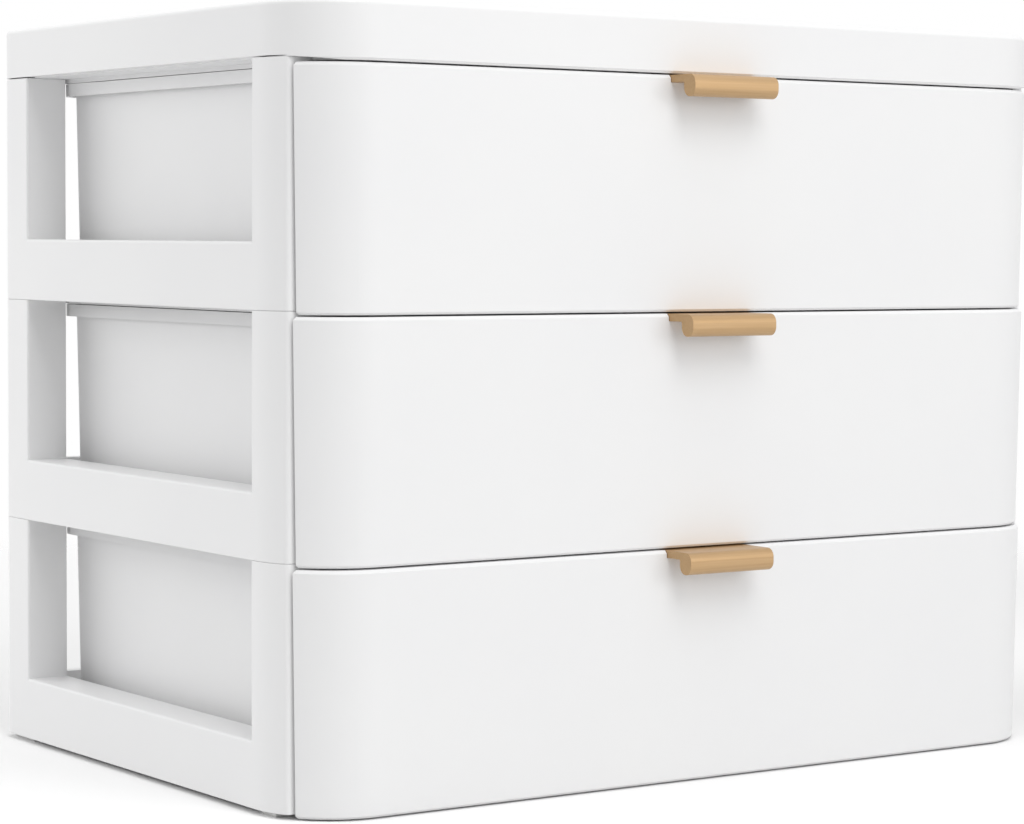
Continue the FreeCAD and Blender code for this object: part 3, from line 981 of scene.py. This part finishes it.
def floor_material(radius, white, bounce):
    """Pale matt floor that fades into the backdrop at its edge."""
    material = bpy.data.materials.new("Studio floor")
    material.use_nodes = True
    tree = material.node_tree
    tree.nodes.clear()
    end = add_node(tree, "ShaderNodeOutputMaterial", (600, 0))
    fade = add_node(tree, "ShaderNodeMixShader", (400, 0))
    pale = add_node(tree, "ShaderNodeBsdfDiffuse", (150, 100))
    clear = add_node(tree, "ShaderNodeBsdfTransparent", (150, -50))
    tone = add_node(tree, "ShaderNodeMix", (-100, 200), data_type="RGBA")
    tone.inputs["A"].default_value = (bounce, bounce, bounce, 1.0)
    tone.inputs["B"].default_value = (white, white, white, 1.0)
    place = add_node(tree, "ShaderNodeTexCoord", (-700, -200))
    reach = add_node(tree, "ShaderNodeVectorMath", (-450, -200), operation="LENGTH")
    edge = add_node(tree, "ShaderNodeMapRange", (-200, -200))
    edge.interpolation_type = "SMOOTHSTEP"
    edge.inputs["From Min"].default_value = radius * FADE_START
    edge.inputs["From Max"].default_value = radius
    link = tree.links.new
    link(white_to_camera(tree, (-350, 400)), tone.inputs["Factor"])
    link(tone.outputs["Result"], pale.inputs["Color"])
    link(place.outputs["Object"], reach.inputs[0])
    link(reach.outputs["Value"], edge.inputs["Value"])
    link(edge.outputs["Result"], fade.inputs["Fac"])
    link(pale.outputs["BSDF"], fade.inputs[1])
    link(clear.outputs["BSDF"], fade.inputs[2])
    link(fade.outputs["Shader"], end.inputs["Surface"])
    return material


def round_about(aim, turn, rise, distance):
    """The place at a distance from a point, turned off its front and raised."""
    level = math.cos(rise)
    away = Vector((math.sin(turn) * level, -math.cos(turn) * level, math.sin(rise)))
    return Vector(aim) + away * distance


def add_softbox(name, place, aim, size, power):
    """A square softbox that faces a point.

    One that stands behind the chest is kept out of glossy reflections, because the
    lid would mirror it and clip to white.
    """
    bpy.ops.object.light_add(type="AREA", location=place)
    lamp = bpy.context.active_object
    lamp.name = name
    lamp.data.shape = "RECTANGLE"
    lamp.data.size = size
    lamp.data.size_y = size
    lamp.data.energy = power
    sight = Vector(aim) - Vector(place)
    lamp.rotation_euler = sight.to_track_quat("-Z", "Y").to_euler()
    lamp.visible_glossy = place[1] < aim[1]


# Turn and rise of each upright softbox in degrees, and its power's setting
UPRIGHT_BOXES = (
    ("Key softbox", -10, 45, "key_box"),
    ("Right softbox", 20, 15, "right_box"),
    ("Left softbox", -120, 15, "left_box"),
    ("Back softbox", -145, 15, "back_box"),
)
TOP_BOX_PLACE = (0.0, -0.1, 1.5)
SENSOR_WIDTH = 36.0
FLOOR_CORNERS = 96


class DrawersStage(bpy.types.Operator):
    """The floor, the softboxes and the camera"""

    bl_idname = "drawers.stage"
    bl_label = "Studio"

    def execute(self, context):
        studio = context.scene.drawers_studio
        bpy.ops.object.select_all(action="DESELECT")
        bpy.ops.mesh.primitive_circle_add(
            vertices=FLOOR_CORNERS,
            radius=studio.floor_radius,
            fill_type="NGON",
            location=(0, 0, 0),
        )
        floor = context.active_object
        floor.name = "studio_floor"
        pale = floor_material(studio.floor_radius, studio.floor_white, studio.floor_bounce)
        paint(floor, pale)
        set_world(studio.room_light)
        aim = (0.0, 0.0, CHEST_HEIGHT / 2)
        distance = studio.box_distance
        for name, turn, rise, setting in UPRIGHT_BOXES:
            place = round_about(aim, math.radians(turn), math.radians(rise), distance)
            add_softbox(name, place, aim, studio.box_size, getattr(studio, setting))
        add_softbox("Top softbox", TOP_BOX_PLACE, aim, studio.top_size, studio.top_box)
        bpy.ops.object.camera_add(location=studio.camera_place)
        camera = context.active_object
        camera.name = "Product camera"
        heading = Matrix.Rotation(-studio.camera_turn, 4, "Z")
        dip = Matrix.Rotation(math.pi / 2 - studio.camera_dip, 4, "X")
        roll = Matrix.Rotation(studio.camera_roll, 4, "Z")
        camera.rotation_euler = (heading @ dip @ roll).to_euler()
        camera.data.lens = studio.camera_lens
        camera.data.sensor_width = SENSOR_WIDTH
        camera.data.clip_start = 0.01
        context.scene.camera = camera
        context.scene.view_settings.view_transform = "Standard"
        return {"FINISHED"}


PIECES = (
    DrawersCase,
    DrawersTubs,
    DrawersFronts,
    DrawersPulls,
    DrawersScrews,
    DrawersFeet,
    DrawersStage,
)


class DrawersPanel(bpy.types.Panel):
    """Settings and operators of the mini drawers"""

    bl_idname = "VIEW3D_PT_mini_drawers"
    bl_label = "Mini drawers"
    bl_space_type = "VIEW_3D"
    bl_region_type = "UI"
    bl_category = "Mini drawers"

    def draw(self, context):
        layout = self.layout
        for settings in (context.scene.drawers_finish, context.scene.drawers_studio):
            box = layout.box()
            for name in settings.bl_rna.properties.keys():
                if name not in ("rna_type", "name"):
                    box.prop(settings, name)
        for piece in PIECES:
            layout.operator(piece.bl_idname)


CLASSES = (DrawersFinish, DrawersStudio, *PIECES, DrawersPanel)


def register():
    for item in CLASSES:
        bpy.utils.register_class(item)
    bpy.types.Scene.drawers_finish = PointerProperty(type=DrawersFinish)
    bpy.types.Scene.drawers_studio = PointerProperty(type=DrawersStudio)


def unregister():
    del bpy.types.Scene.drawers_studio
    del bpy.types.Scene.drawers_finish
    for item in reversed(CLASSES):
        bpy.utils.unregister_class(item)


def main():
    register()
    bpy.ops.drawers.case()
    bpy.ops.drawers.tubs()
    bpy.ops.drawers.fronts()
    bpy.ops.drawers.pulls()
    bpy.ops.drawers.screws()
    bpy.ops.drawers.feet()
    bpy.ops.drawers.stage()


if __name__ == "__main__":
    main()
